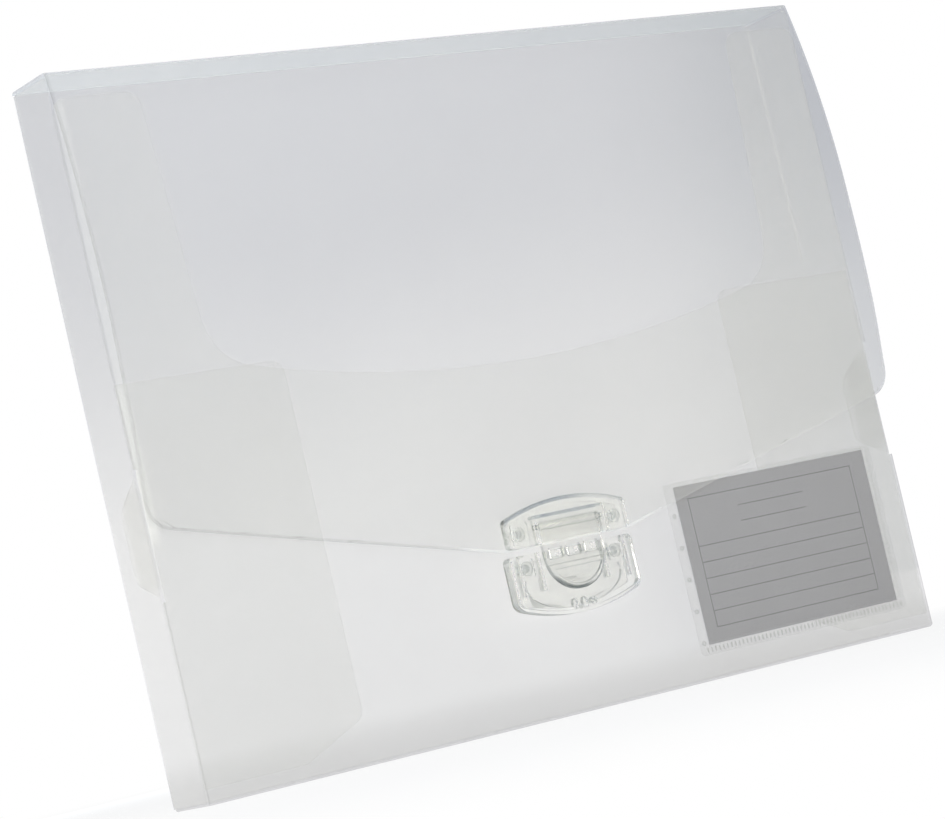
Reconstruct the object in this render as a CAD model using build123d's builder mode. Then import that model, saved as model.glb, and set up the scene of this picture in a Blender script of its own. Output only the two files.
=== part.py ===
from build123d import *
import os

os.makedirs("parts", exist_ok=True)

# The case, folded up and closed, measured outside.
# X is its width, the front faces -Y, and it stands on Z = 0.
case_width = 330.0
case_height = 252.0
case_depth = 25.5
sheet = 0.8

# Clearances
crease_gap = 0.1
slip_gap = 0.2
slit_gap = 0.5
lid_gap = 0.8
edge_inset = 0.3
overcut = 1.0

# Front panel and the big cut-out between its two ears
ear_drop = 9.0
ear_width = 33.5
ear_lean = 6.0
ear_corner = 6.0
sill_height = 130.0
sill_rise = 17.0
cut_corner = 20.0

# Inner tabs, folded in from the side walls behind the front panel
tab_width = 67.0
tab_top = 144.0
tab_foot = 5.5
tab_chamfer_width = 26.0
tab_chamfer_rise = 11.5
tab_corner = 5.0

# Locking tabs, folded back from the front panel through slits beside the side walls
lock_low = 69.5
lock_high = 114.5
lock_reach = 17.5
lock_low_slope = 8.3
lock_high_slope = 12.0
lock_corner = 4.0

# Closing flap, which bows away from the front between its crease and the clasp
flap_low = 62.0
flap_flat = 18.0
flap_lift = 3.0
flap_inset = 0.5
flap_rise = 32.5
flap_point_half = 28.0
flap_point_corner = 6.0
flap_side_corner = 10.0
bow_turn_height = 33.0
bow_turn_lift = 5.9

# Clasp plate on the flap
upper_half = 27.3
upper_margin = 0.3
upper_shoulder = 10.8
upper_crown = 5.1
upper_thick = 3.0
upper_corner = 2.0
upper_chamfer = 0.5
frame_wide = 2.4
frame_high = 1.2
frame_corner = 1.0
pin_recess = 7.6
pin_recess_deep = 0.6
pin_recess_corner = 0.8

# Clasp tongue and the bay that holds its pivot
tongue_half = 13.4
tongue_side_gap = 0.4
tongue_thick = 1.6
tongue_set_back = 0.1
tongue_end_drop = 15.9
tongue_pad_high = 0.5
tongue_pad_drop = 2.2
tongue_dish_deep = 0.5
tongue_dish_rim = 1.8
pivot_above = 6.3
pivot_lift = 2.6
barrel_radius = 1.5
barrel_gap = 0.3
trunnion_radius = 0.9
trunnion_long = 1.4
trunnion_gap = 0.06
socket_end_gap = 0.2

# Windows in the tongue and the catches that stand in them
window_count = 3
window_pitch = 8.0
window_wide = 5.6
window_tall = 3.9
window_drop = 1.55
catch_gap = 0.65
catch_sink = 0.5

# Clasp plate on the front panel
lower_half = 27.8
seam = 2.1
lower_side = 18.9
lower_belly = 5.4
lower_thick = 2.2
lower_corner = 4.0
lower_top_corner = 2.0
rim_wide = 1.3
rim_high = 2.0
rib_inset = 3.4
rib_wide = 1.2
rib_high = 1.6
channel_wall = 1.2
channel_wall_high = 1.4
channel_wall_tall = 14.0
channel_floor = 1.2
scoop_half = 21.5
scoop_tall = 10.4
scoop_drop = 11.6
scoop_top_drop = 9.3
scoop_floor = 0.9
boss_side = 6.4
boss_high = 1.0
boss_corner = 0.8
gate_radius = 1.3
gate_wall = 0.5
gate_offset = 6.0
gate_rise = 3.2
notch_wide = 2.2
notch_tall = 5.0
notch_offset = 2.2
notch_rise = 0.4
notch_proud = 0.4

# Plates behind the sheet and the rivets that clamp it
backing_thick = 1.0
backing_inset = 2.6
backing_corner = 2.0
rivet_radius = 1.5
rivet_gap = 0.05
rivet_head_radius = 2.5
rivet_head_thick = 0.7
rivet_head_sink = 0.1
rivet_tail_radius = 2.3
rivet_tail_thick = 0.6
rivet_dimple_radius = 0.8
rivet_dimple_deep = 0.3
upper_rivet_inset = 5.8
upper_rivet_rise = 5.1
lower_rivet_inset = 7.8
lower_rivet_drop = 4.9

# Welded label pocket and the card in it
card_width = 94.5
card_height = 60.0
card_thick = 0.3
card_gap = 0.12
card_side_gap = 0.9
card_seat_gap = 0.2
film = 0.2
weld_wide = 3.6
pocket_foot = 9.4
pocket_over = 1.6
pocket_share = 1 / 3
pocket_corner = 2.0

# Places worked out from the sizes above
half_width = case_width / 2
half_depth = case_depth / 2
mitre = crease_gap / 2
tab_front = -half_depth + sheet + slip_gap
wall_foot = sheet + slip_gap
wall_top = case_height - sheet - lid_gap
ear_top = case_height - ear_drop
cut_half_top = half_width - ear_width
cut_half_low = cut_half_top - ear_lean
lock_face = half_width - sheet - slip_gap
flap_half = half_width - flap_inset
upper_low = flap_low + upper_margin
lower_top = flap_low - seam
lower_low = lower_top - lower_side - lower_belly
bay_half = tongue_half + tongue_side_gap
pivot_height = upper_low + pivot_above
pivot_out = flap_lift + pivot_lift
bay_floor = pivot_out - barrel_radius - barrel_gap
bay_top = pivot_height + barrel_radius + barrel_gap
tongue_inner = pivot_out - tongue_thick / 2 - tongue_set_back
tongue_outer = tongue_inner + tongue_thick
tongue_end = lower_top - tongue_end_drop
window_height = lower_top - window_drop
upper_head_seat = flap_lift + upper_thick - pin_recess_deep - rivet_head_thick - rivet_head_sink
lower_head_seat = lower_thick + boss_high - rivet_head_thick - rivet_head_sink
pocket_width = card_width + 2 * (card_side_gap + weld_wide)
pocket_right = half_width - (half_width - lower_half - pocket_width) * pocket_share
pocket_middle = pocket_right - pocket_width / 2
card_foot = pocket_foot + weld_wide + card_seat_gap
pocket_top = card_foot + card_height + pocket_over
cavity = card_thick + 2 * card_gap

# Seen from the front: local x is X, local y is Z, and the normal points out of the case
front = Plane(origin=(0, -half_depth, 0), x_dir=(1, 0, 0), z_dir=(0, -1, 0))
back = Plane(origin=(0, half_depth, 0), x_dir=(1, 0, 0), z_dir=(0, -1, 0))


def rivet_spots(half, inset, height):
    """The two places of a plate's rivets, left and right of its middle."""
    return Locations((-half + inset, height), (half - inset, height))


def upper_spots():
    return rivet_spots(upper_half, upper_rivet_inset, upper_low + upper_rivet_rise)


def lower_spots():
    return rivet_spots(lower_half, lower_rivet_inset, lower_top - lower_rivet_drop)


def window_spots():
    return GridLocations(window_pitch, 0, window_count, 1)


def finish(part, name):
    """Label a finished piece and write it."""
    part.label = name
    export_step(part, f"parts/{name}.step")


# Back panel, creased on all four sides
with BuildPart() as back_panel:
    with BuildSketch(back):
        with Locations((0, case_height / 2)):
            Rectangle(case_width - crease_gap, case_height - crease_gap)
    extrude(amount=sheet, taper=45)
finish(back_panel.part, "back_panel")


# Bottom panel and top spine: strips between two creases
def crease_strip(outer, inward):
    """A strip as wide as the case, its outer face at the height outer, mitred front and back."""
    reach = half_depth - mitre
    with BuildPart() as strip:
        with BuildSketch(Plane.YZ):
            Polygon(
                (-reach, outer),
                (reach, outer),
                (reach - sheet, outer + inward * sheet),
                (-reach + sheet, outer + inward * sheet),
                align=None,
            )
        extrude(amount=half_width - mitre, both=True)
    return strip.part


finish(crease_strip(0, 1), "bottom_panel")
finish(crease_strip(case_height, -1), "top_spine")

# Front panel: two ears beside a wide cut-out, notched where the locking tabs fold back
with BuildPart() as front_panel:
    with BuildSketch(Plane.YZ):
        Polygon(
            (-half_depth, mitre),
            (-half_depth, ear_top),
            (-half_depth + sheet, ear_top),
            (-half_depth + sheet, mitre + sheet),
            align=None,
        )
    extrude(amount=half_width - edge_inset, both=True)
    with BuildSketch(front) as cut_out:
        with BuildLine():
            shoulder = (cut_half_low, sill_height + sill_rise)
            Line((-cut_half_top, case_height), (cut_half_top, case_height))
            Line((cut_half_top, case_height), shoulder)
            ThreePointArc(shoulder, (0, sill_height), (-cut_half_low, shoulder[1]))
            Line((-cut_half_low, shoulder[1]), (-cut_half_top, case_height))
        make_face()
        fillet(cut_out.vertices().group_by(Axis.Y)[0], radius=cut_corner)
    extrude(amount=-sheet, mode=Mode.SUBTRACT)
    fillet(
        front_panel.edges().filter_by(Axis.Y).group_by(Axis.Z)[-1],
        radius=ear_corner,
    )
    with BuildSketch(Plane.XY.offset(lock_low - slip_gap)) as relief:
        for side in (-1, 1):
            Polygon(
                (side * (lock_face - mitre), -half_depth - sheet),
                (side * (lock_face - mitre), -half_depth),
                (side * (lock_face - mitre - sheet), -half_depth + sheet),
                (side * (lock_face - mitre - sheet), 0),
                (side * (half_width + sheet), 0),
                (side * (half_width + sheet), -half_depth - sheet),
                align=None,
            )
    extrude(amount=lock_high - lock_low + 2 * slip_gap, mode=Mode.SUBTRACT)
    with BuildSketch(front):
        with lower_spots():
            Circle(rivet_radius + rivet_gap)
    extrude(amount=-sheet, mode=Mode.SUBTRACT)
finish(front_panel.part, "front_panel")


def side_wall(side):
    """A side wall, creased to the back panel and to its inner tab."""
    near = tab_front + mitre
    far = half_depth - mitre
    with BuildPart() as wall:
        with BuildSketch(Plane.XY.offset(wall_foot)):
            Polygon(
                (side * half_width, near),
                (side * half_width, far),
                (side * (half_width - sheet), far - sheet),
                (side * (half_width - sheet), near + sheet),
                align=None,
            )
        extrude(amount=wall_top - wall_foot)
    return wall.part


def inner_tab(side):
    """A tab behind the front panel, with the slit that its locking tab goes through."""
    inner = half_width - tab_width
    outer = half_width - mitre
    slit_depth = 2 * (sheet + slip_gap)
    with BuildPart() as tab:
        with BuildSketch(Plane.XY.offset(tab_foot)):
            Polygon(
                (side * inner, tab_front),
                (side * outer, tab_front),
                (side * (outer - sheet), tab_front + sheet),
                (side * inner, tab_front + sheet),
                align=None,
            )
        extrude(amount=tab_top - tab_foot)
        with BuildSketch(Plane.XZ) as shape:
            Polygon(
                (side * half_width, tab_foot),
                (side * half_width, tab_top),
                (side * inner, tab_top),
                (side * inner, tab_foot + tab_chamfer_rise),
                (side * (inner + tab_chamfer_width), tab_foot),
                align=None,
            )
            fillet(
                shape.vertices().filter_by(lambda v: abs(v.X) < half_width - tab_corner),
                radius=tab_corner,
            )
        extrude(amount=half_depth, mode=Mode.INTERSECT)
        with BuildSketch(Plane.XY.offset(lock_low - slit_gap)):
            with Locations((side * (half_width - slit_depth / 2), tab_front + sheet / 2)):
                Rectangle(slit_depth, 2 * sheet)
        extrude(amount=lock_high - lock_low + 2 * slit_gap, mode=Mode.SUBTRACT)
    return tab.part


def lock_tab(side):
    """A locking tab, folded back from the front panel and lying against the side wall."""
    near = -half_depth + mitre
    far = -half_depth + lock_reach
    with BuildPart() as tab:
        with BuildSketch(Plane.XY.offset(lock_low)):
            Polygon(
                (side * lock_face, near),
                (side * lock_face, far),
                (side * (lock_face - sheet), far),
                (side * (lock_face - sheet), near + sheet),
                align=None,
            )
        extrude(amount=lock_high - lock_low)
        with BuildSketch(Plane.YZ) as shape:
            Polygon(
                (-half_depth, lock_low),
                (far, lock_low + lock_low_slope),
                (far, lock_high - lock_high_slope),
                (-half_depth, lock_high),
                align=None,
            )
            fillet(shape.vertices().group_by(Axis.X)[-1], radius=lock_corner)
        extrude(amount=side * half_width, mode=Mode.INTERSECT)
    return tab.part


for side, word in ((-1, "left"), (1, "right")):
    finish(side_wall(side), f"{word}_side_wall")
    finish(inner_tab(side), f"{word}_inner_tab")
    finish(lock_tab(side), f"{word}_lock_tab")

# Closing flap: a bowed sheet with a flat strip for the clasp, cut to a blunt point
with BuildPart() as closing_flap:
    flat_face = -half_depth - flap_lift
    flat_top = flap_low + flap_flat
    with BuildSketch(Plane.YZ):
        with BuildLine():
            strip = Line((flat_face, flap_low), (flat_face, flat_top))
            turn = TangentArc(
                strip @ 1,
                (-half_depth - bow_turn_lift, flat_top + bow_turn_height),
                tangent=strip % 1,
            )
            TangentArc(turn @ 1, (-half_depth, case_height), tangent=turn % 1)
            offset(amount=sheet, side=Side.RIGHT)
        make_face()
    extrude(amount=flap_half, both=True)
    with BuildSketch(front) as shape:
        Polygon(
            (-flap_half, case_height),
            (-flap_half, flap_low + flap_rise),
            (-flap_point_half, flap_low),
            (flap_point_half, flap_low),
            (flap_half, flap_low + flap_rise),
            (flap_half, case_height),
            align=None,
        )
        fillet(shape.vertices().group_by(Axis.Y)[1], radius=flap_side_corner)
        fillet(shape.vertices().group_by(Axis.Y)[0], radius=flap_point_corner)
    extrude(amount=case_depth, both=True, mode=Mode.INTERSECT)
    with BuildSketch(Plane.YZ):
        Polygon(
            (-half_depth - crease_gap, case_height),
            (-half_depth - crease_gap + 3 * sheet, case_height - 3 * sheet),
            (-half_depth + 3 * sheet, case_height + sheet),
            (-half_depth - crease_gap, case_height + sheet),
            align=None,
        )
    extrude(amount=half_width, both=True, mode=Mode.SUBTRACT)
    with BuildSketch(front):
        with upper_spots():
            Circle(rivet_radius + rivet_gap)
    extrude(amount=case_depth, mode=Mode.SUBTRACT)
finish(closing_flap.part, "closing_flap")


# Outline of the flap's clasp plate: straight foot and sides under a shallow arch
with BuildSketch() as upper_shape:
    with BuildLine():
        shoulder = upper_low + upper_shoulder
        Line((-upper_half, upper_low), (upper_half, upper_low))
        Line((upper_half, upper_low), (upper_half, shoulder))
        ThreePointArc((upper_half, shoulder), (0, shoulder + upper_crown), (-upper_half, shoulder))
        Line((-upper_half, shoulder), (-upper_half, upper_low))
    make_face()
    fillet(upper_shape.vertices(), radius=upper_corner)

# Outline of the front panel's clasp plate: straight top and sides over a shallow belly
with BuildSketch() as lower_shape:
    with BuildLine():
        low_side = lower_top - lower_side
        Line((lower_half, lower_top), (-lower_half, lower_top))
        Line((-lower_half, lower_top), (-lower_half, low_side))
        ThreePointArc((-lower_half, low_side), (0, lower_low), (lower_half, low_side))
        Line((lower_half, low_side), (lower_half, lower_top))
    make_face()
    fillet(lower_shape.vertices().group_by(Axis.Y)[0], radius=lower_corner)
    fillet(lower_shape.vertices().group_by(Axis.Y)[-1], radius=lower_top_corner)

# Clasp plate on the flap, with the framed bay for the tongue's pivot
with BuildPart() as clasp_upper_plate:
    with BuildSketch(front.offset(flap_lift)):
        add(upper_shape.sketch)
    extrude(amount=upper_thick)
    outer_face = clasp_upper_plate.faces().sort_by(Axis.Y)[0]
    chamfer(outer_face.outer_wire().edges(), length=upper_chamfer)
    frame_half = bay_half + frame_wide
    with BuildSketch(front.offset(flap_lift)):
        with Locations((0, (upper_low + bay_top + frame_wide) / 2)):
            RectangleRounded(
                2 * frame_half,
                bay_top + frame_wide - upper_low,
                radius=frame_corner,
            )
    extrude(amount=upper_thick + frame_high)
    with BuildSketch(front.offset(bay_floor)):
        with Locations((0, (upper_low + bay_top - overcut) / 2)):
            Rectangle(2 * bay_half, bay_top - upper_low + overcut)
    extrude(amount=case_depth, mode=Mode.SUBTRACT)
    with BuildSketch(Plane.YZ):
        with Locations((-half_depth - pivot_out, pivot_height)):
            Circle(trunnion_radius + trunnion_gap)
    socket_reach = tongue_half + trunnion_long + socket_end_gap
    extrude(amount=socket_reach, both=True, mode=Mode.SUBTRACT)
    with BuildSketch(front.offset(flap_lift + upper_thick)):
        with upper_spots():
            RectangleRounded(pin_recess, pin_recess, radius=pin_recess_corner)
    extrude(amount=-pin_recess_deep, mode=Mode.SUBTRACT)
    with BuildSketch(front.offset(upper_head_seat)):
        with upper_spots():
            Circle(rivet_head_radius + rivet_gap)
    extrude(amount=upper_thick, mode=Mode.SUBTRACT)
    with BuildSketch(front):
        with upper_spots():
            Circle(rivet_radius + rivet_gap)
    extrude(amount=case_depth, mode=Mode.SUBTRACT)
finish(clasp_upper_plate.part, "clasp_upper_plate")

# Tongue: round pull end, three windows, and a barrel with a trunnion at each side
with BuildPart() as clasp_tongue:
    end_middle = tongue_end + tongue_half
    with BuildSketch(front.offset(tongue_inner)):
        with Locations((0, end_middle)):
            Circle(tongue_half)
        with Locations((0, (end_middle + pivot_height) / 2)):
            Rectangle(2 * tongue_half, pivot_height - end_middle)
        with Locations((0, pivot_height + tongue_half)):
            Rectangle(2 * tongue_half, 2 * tongue_half, mode=Mode.SUBTRACT)
    extrude(amount=tongue_thick)
    pad_top = window_height - window_tall / 2 - tongue_pad_drop
    with BuildSketch(front.offset(tongue_outer)):
        with Locations((0, end_middle)):
            Circle(tongue_half)
        with Locations((0, pad_top + tongue_half)):
            Rectangle(2 * tongue_half, 2 * tongue_half, mode=Mode.SUBTRACT)
    extrude(amount=tongue_pad_high)
    with BuildSketch(front.offset(tongue_outer + tongue_pad_high)):
        with Locations((0, end_middle)):
            Circle(tongue_half - tongue_dish_rim)
        with Locations((0, pad_top - tongue_dish_rim + tongue_half)):
            Rectangle(2 * tongue_half, 2 * tongue_half, mode=Mode.SUBTRACT)
    extrude(amount=-tongue_dish_deep, mode=Mode.SUBTRACT)
    with BuildSketch(Plane.YZ):
        with Locations((-half_depth - pivot_out, pivot_height)):
            Circle(barrel_radius)
    extrude(amount=tongue_half, both=True)
    with BuildSketch(Plane.YZ):
        with Locations((-half_depth - pivot_out, pivot_height)):
            Circle(trunnion_radius)
    extrude(amount=tongue_half + trunnion_long, both=True)
    with BuildSketch(front):
        with Locations((0, window_height)):
            with window_spots():
                Rectangle(window_wide, window_tall)
    extrude(amount=case_depth, mode=Mode.SUBTRACT)
finish(clasp_tongue.part, "clasp_tongue")

# Clasp plate on the front panel, with rim, catches, tongue channel and finger scoops
with BuildPart() as clasp_lower_plate:
    with BuildSketch(front):
        add(lower_shape.sketch)
    extrude(amount=lower_thick)
    with BuildSketch(front.offset(lower_thick)):
        add(lower_shape.sketch)
        offset(amount=-rim_wide, mode=Mode.SUBTRACT)
        with Locations((0, lower_top)):
            Rectangle(2 * (lower_half - rib_inset), 2 * rim_wide + seam, mode=Mode.SUBTRACT)
    extrude(amount=rim_high)
    with BuildSketch(front.offset(lower_thick)):
        rib_tall = lower_side - lower_corner
        with Locations((0, lower_top - rib_tall / 2)):
            with GridLocations(2 * (lower_half - rib_inset) - rib_wide, 0, 2, 1):
                Rectangle(rib_wide, rib_tall)
    extrude(amount=rib_high)
    with BuildSketch(front.offset(lower_thick)):
        with lower_spots():
            RectangleRounded(boss_side, boss_side, radius=boss_corner)
    extrude(amount=boss_high)
    with BuildSketch(front.offset(scoop_floor)) as scoop:
        with Locations((0, lower_top - scoop_drop)):
            Ellipse(scoop_half, scoop_tall)
        with Locations((0, lower_top - scoop_top_drop + scoop_tall)):
            Rectangle(2 * scoop_half, 2 * scoop_tall, mode=Mode.SUBTRACT)
    extrude(amount=lower_thick, mode=Mode.SUBTRACT)
    with BuildSketch(front.offset(channel_floor)):
        with Locations((0, lower_top - scoop_top_drop / 2)):
            Rectangle(2 * bay_half, scoop_top_drop + overcut)
    extrude(amount=lower_thick, mode=Mode.SUBTRACT)
    with BuildSketch(front.offset(scoop_floor)):
        with Locations((0, lower_top - channel_wall_tall / 2)):
            with GridLocations(2 * bay_half + channel_wall, 0, 2, 1):
                Rectangle(channel_wall, channel_wall_tall)
    extrude(amount=lower_thick - scoop_floor + channel_wall_high)
    with BuildSketch(front.offset(scoop_floor)):
        with Locations((0, window_height)):
            with window_spots():
                Rectangle(window_wide - 2 * catch_gap, window_tall - 2 * catch_gap)
    extrude(amount=tongue_outer - catch_sink - scoop_floor)
    with BuildSketch(front.offset(scoop_floor)):
        with Locations((gate_offset, lower_low + gate_rise)):
            Circle(gate_radius)
            Circle(gate_radius - gate_wall, mode=Mode.SUBTRACT)
    extrude(amount=lower_thick)
    with BuildSketch(front.offset(scoop_floor)):
        with Locations((0, lower_low + notch_rise + notch_tall / 2)):
            with GridLocations(2 * notch_offset, 0, 2, 1):
                Ellipse(notch_wide / 2, notch_tall / 2)
    extrude(amount=lower_thick - scoop_floor + notch_proud)
    with BuildSketch(front.offset(lower_head_seat)):
        with lower_spots():
            Circle(rivet_head_radius + rivet_gap)
    extrude(amount=lower_thick, mode=Mode.SUBTRACT)
    with BuildSketch(front):
        with lower_spots():
            Circle(rivet_radius + rivet_gap)
    extrude(amount=case_depth, mode=Mode.SUBTRACT)
finish(clasp_lower_plate.part, "clasp_lower_plate")


def backing(plane, shape, spots):
    """A thin plate behind the sheet, a little smaller than the clasp plate in front."""
    with BuildPart() as plate:
        with BuildSketch(plane):
            add(shape.sketch)
            offset(amount=-backing_inset, mode=Mode.REPLACE)
            with spots():
                Circle(rivet_radius + rivet_gap, mode=Mode.SUBTRACT)
        extrude(amount=-backing_thick)
    return plate.part


finish(backing(front.offset(flap_lift - sheet), upper_shape, upper_spots), "clasp_upper_backing")
finish(backing(front.offset(-sheet), lower_shape, lower_spots), "clasp_lower_backing")


def rivets(spots, seat, tail):
    """Two rivets: heads on the seat, shanks through the sheet, tails closed behind the backing."""
    with BuildPart() as pair:
        with BuildSketch(front.offset(seat)):
            with spots():
                Circle(rivet_head_radius)
        extrude(amount=rivet_head_thick)
        with BuildSketch(front.offset(tail)):
            with spots():
                Circle(rivet_radius)
        extrude(amount=seat - tail)
        with BuildSketch(front.offset(tail)):
            with spots():
                Circle(rivet_tail_radius)
        extrude(amount=-rivet_tail_thick)
        with BuildSketch(front.offset(seat + rivet_head_thick)):
            with spots():
                Circle(rivet_dimple_radius)
        extrude(amount=-rivet_dimple_deep, mode=Mode.SUBTRACT)
    return pair.part


upper_tail = flap_lift - sheet - backing_thick
lower_tail = -sheet - backing_thick
finish(rivets(upper_spots, upper_head_seat, upper_tail), "clasp_upper_rivets")
finish(rivets(lower_spots, lower_head_seat, lower_tail), "clasp_lower_rivets")

# Label pocket: clear film held off the panel by welds at both sides and along the foot
with BuildPart() as label_pocket:
    with BuildSketch(front):
        with Locations((pocket_middle, (pocket_foot + pocket_top) / 2)):
            Rectangle(pocket_width, pocket_top - pocket_foot)
    extrude(amount=cavity + film)
    with BuildSketch(front):
        with Locations((pocket_middle, (pocket_foot + weld_wide + pocket_top + overcut) / 2)):
            Rectangle(pocket_width - 2 * weld_wide, pocket_top - pocket_foot - weld_wide + overcut)
    extrude(amount=cavity, mode=Mode.SUBTRACT)
    fillet(
        label_pocket.edges().filter_by(Axis.Y).group_by(Axis.Z)[0],
        radius=pocket_corner,
    )
finish(label_pocket.part, "label_pocket")

# Label card, which stands on the foot weld and slides up out of the pocket
with BuildPart() as label_card:
    with BuildSketch(front.offset(card_gap)):
        with Locations((pocket_middle, card_foot + card_height / 2)):
            Rectangle(card_width, card_height)
    extrude(amount=card_thick)
finish(label_card.part, "label_card")
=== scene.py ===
"""A document box file of frosted sheet: folded case, bowed flap, clear clasp and a label pocket."""

import math

import bmesh
import bpy
from bpy.props import FloatProperty, FloatVectorProperty, PointerProperty
from mathutils import Matrix, Vector
from mathutils.geometry import tessellate_polygon


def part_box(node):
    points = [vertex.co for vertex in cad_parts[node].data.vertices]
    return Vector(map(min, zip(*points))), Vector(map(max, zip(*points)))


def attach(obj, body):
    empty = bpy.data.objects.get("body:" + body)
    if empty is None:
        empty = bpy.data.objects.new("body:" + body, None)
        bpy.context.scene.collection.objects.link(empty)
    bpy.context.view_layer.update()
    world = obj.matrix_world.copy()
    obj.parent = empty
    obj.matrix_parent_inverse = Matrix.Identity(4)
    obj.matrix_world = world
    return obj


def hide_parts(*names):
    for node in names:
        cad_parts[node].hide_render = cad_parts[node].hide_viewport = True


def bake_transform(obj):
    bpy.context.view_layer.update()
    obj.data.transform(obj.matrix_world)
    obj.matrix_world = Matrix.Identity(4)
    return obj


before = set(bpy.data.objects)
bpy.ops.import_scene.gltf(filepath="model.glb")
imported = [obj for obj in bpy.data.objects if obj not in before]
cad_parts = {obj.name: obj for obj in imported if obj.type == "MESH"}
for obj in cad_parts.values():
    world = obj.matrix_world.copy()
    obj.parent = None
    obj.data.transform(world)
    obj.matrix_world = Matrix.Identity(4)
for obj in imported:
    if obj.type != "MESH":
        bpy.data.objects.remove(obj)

bl_info = {
    "name": "Document Box File",
    "version": (1, 0, 0),
    "blender": (4, 5, 0),
    "location": "3D View > Sidebar > Box File",
    "description": "Builds a translucent document box file with its clasp and label",
    "category": "Add Mesh",
}

MM = 0.001

# The case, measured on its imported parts
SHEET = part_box("back_panel")[1].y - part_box("back_panel")[0].y
HALF_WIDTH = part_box("right_side_wall")[1].x
HALF_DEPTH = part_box("back_panel")[1].y
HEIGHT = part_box("top_spine")[1].z
TAB_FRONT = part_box("left_inner_tab")[0].y

FOLD_STEPS = 10  # cells of the mesh round a fold
BEYOND = 1.0  # further than any cut or run of the sheet goes
RIVET_HOLE = 1.55 * MM  # radius


def length_value(name, default, description):
    """A length that a user can change."""
    return FloatProperty(name=name, description=description, default=default, unit="LENGTH")


def colour_value(name, default, description):
    """A colour that a user can change."""
    return FloatVectorProperty(
        name=name, description=description, default=default, subtype="COLOR"
    )


class FileSizes(bpy.types.PropertyGroup):
    """The sizes that shape the folded sheet."""

    crease_radius: length_value("Crease radius", 1.0 * MM, "Outside radius of the folds")
    crease_length: length_value(
        "Crease length", 1.2 * MM, "Width of the strip of sheet that bends round a fold"
    )
    crease_thinning: FloatProperty(
        name="Crease thinning",
        description="Share of its thickness that the sheet loses in a fold",
        default=0.45,
        subtype="FACTOR",
    )
    score_depth: length_value(
        "Score depth", 0.16 * MM, "How far the score line is pressed into a fold"
    )
    edge_round: length_value("Edge round", 0.1 * MM, "Rounding of the cut edges")
    bow_left: FloatProperty(
        name="Bow at the left",
        description="Share of the flap's bow that its left edge has",
        default=0.68,
        subtype="FACTOR",
    )
    bow_right: FloatProperty(
        name="Bow at the right",
        description="Share of the flap's bow that its right edge has",
        default=0.97,
        subtype="FACTOR",
    )
    corner_lift_left: length_value(
        "Left corner lift", -2.0 * MM, "How far the flap's lower left corner springs out"
    )
    corner_lift_right: length_value(
        "Right corner lift", 3.8 * MM, "How far the flap's lower right corner springs out"
    )
    net_step: length_value("Net step", 5.0 * MM, "Width of a cell of the flap's mesh")
    weld_pitch: length_value(
        "Weld pitch", 1.85 * MM, "From one mark of the pocket's foot weld to the next"
    )


class FileColours(bpy.types.PropertyGroup):
    """The colours and densities of the file's plastics and card."""

    sheet: colour_value("Sheet", (0.74, 0.735, 0.705), "Colour of the frosted sheet")
    sheet_density: FloatProperty(
        name="Sheet density",
        description="How much one face of the sheet hides",
        default=0.145,
        subtype="FACTOR",
    )
    cut_edge: colour_value("Cut edge", (0.42, 0.425, 0.42), "Colour of the sheet's cut edges")
    lit_sheet: colour_value(
        "Lit sheet",
        (0.95, 0.99, 1.0),
        "Colour of the spine's sheet, which the light from above shines through",
    )
    clasp: colour_value("Clasp", (0.95, 0.953, 0.944), "Colour of the clear clasp")
    # Painted shade: darker walls stand in for the dark lines that refraction gives
    clasp_wall_shade: colour_value(
        "Clasp walls",
        (0.80, 0.82, 0.80),
        "Colour of the clasp's upright walls, where the plastic is seen edge on",
    )
    # Painted shade: the dark bands that refraction gives along the upper plate's arch and frame
    rim_shade: colour_value(
        "Clasp rims", (0.5, 0.54, 0.58), "Colour of the upper plate's thick rims"
    )
    rivets: colour_value("Rivets", (0.60, 0.62, 0.59), "Colour of the clasp's clear rivets")
    # Painted shadow: the dark crescent under the tongue's lifted round end
    foot_shadow: colour_value(
        "Tongue foot", (0.25, 0.28, 0.28), "Colour of the thick foot of the tongue"
    )
    film: colour_value("Film", (0.66, 0.66, 0.65), "Colour of the label pocket's film")
    weld: colour_value(
        "Weld marks", (0.56, 0.56, 0.53), "Colour of the marks where the film is welded on"
    )
    card: colour_value("Card", (0.377, 0.371, 0.392), "Colour of the label card")
    ink: colour_value("Ink", (0.1, 0.1, 0.105), "Colour of the rules on the card")


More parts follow.
